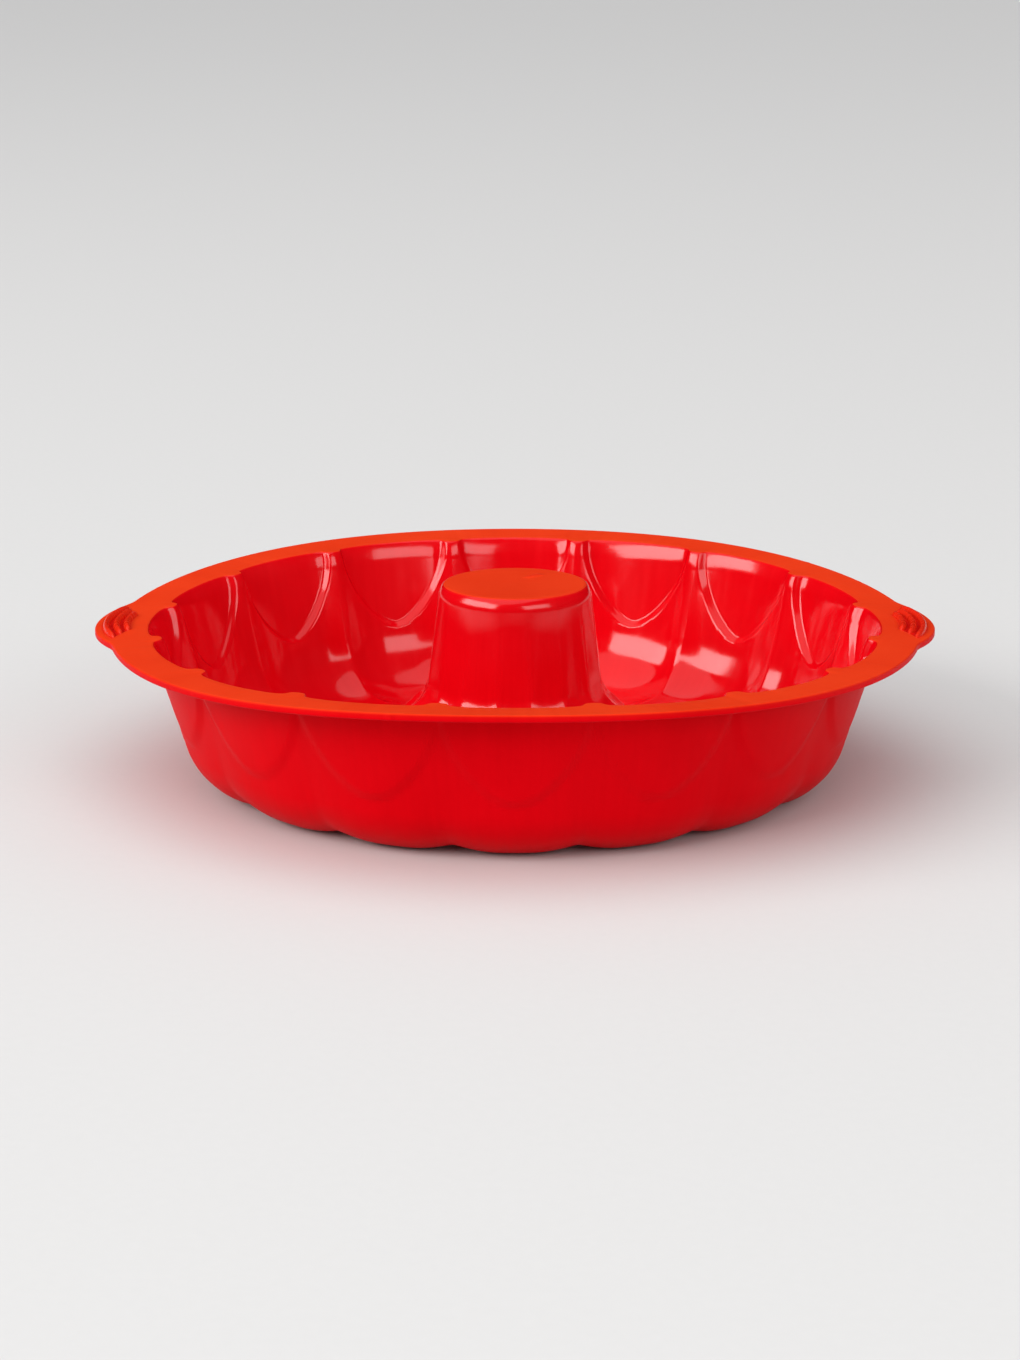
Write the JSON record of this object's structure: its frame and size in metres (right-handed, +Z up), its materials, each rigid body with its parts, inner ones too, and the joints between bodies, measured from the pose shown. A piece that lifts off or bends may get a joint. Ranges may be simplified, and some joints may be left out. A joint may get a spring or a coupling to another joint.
{
  "type": "bundt pan",
  "caption": "Flexible red ring-cake mould with an arched, fluted wall, a scalloped floor, a closed centre tube, a thin flange round the mouth and a small ribbed ear on each side.",
  "frame": {"origin": "on the table plane, under the middle of the tube", "axes": "+Z up out of the mouth, +X from the left ear to the right ear, +Y to the back"},
  "size_m": [0.271, 0.26, 0.062],
  "materials": {
    "satin_silicone": "satin, slightly orange red, with a fine haze",
    "gloss_silicone": "glossy red inside, satin outside",
    "tube_silicone": "semi-gloss red"
  },
  "bodies": {
    "root": {"rim_flange": "satin_silicone", "left_handle": "satin_silicone", "right_handle": "satin_silicone", "left_grip_rib_1": "satin_silicone", "left_grip_rib_2": "satin_silicone", "left_grip_rib_3": "satin_silicone", "right_grip_rib_1": "satin_silicone", "right_grip_rib_2": "satin_silicone", "right_grip_rib_3": "satin_silicone", "fluted_wall": "gloss_silicone", "lower_wall": "gloss_silicone", "trough_floor": "gloss_silicone", "tube_flare": "gloss_silicone", "centre_tube": "tube_silicone", "tube_cap": "satin_silicone"}
  },
  "joints": []
}
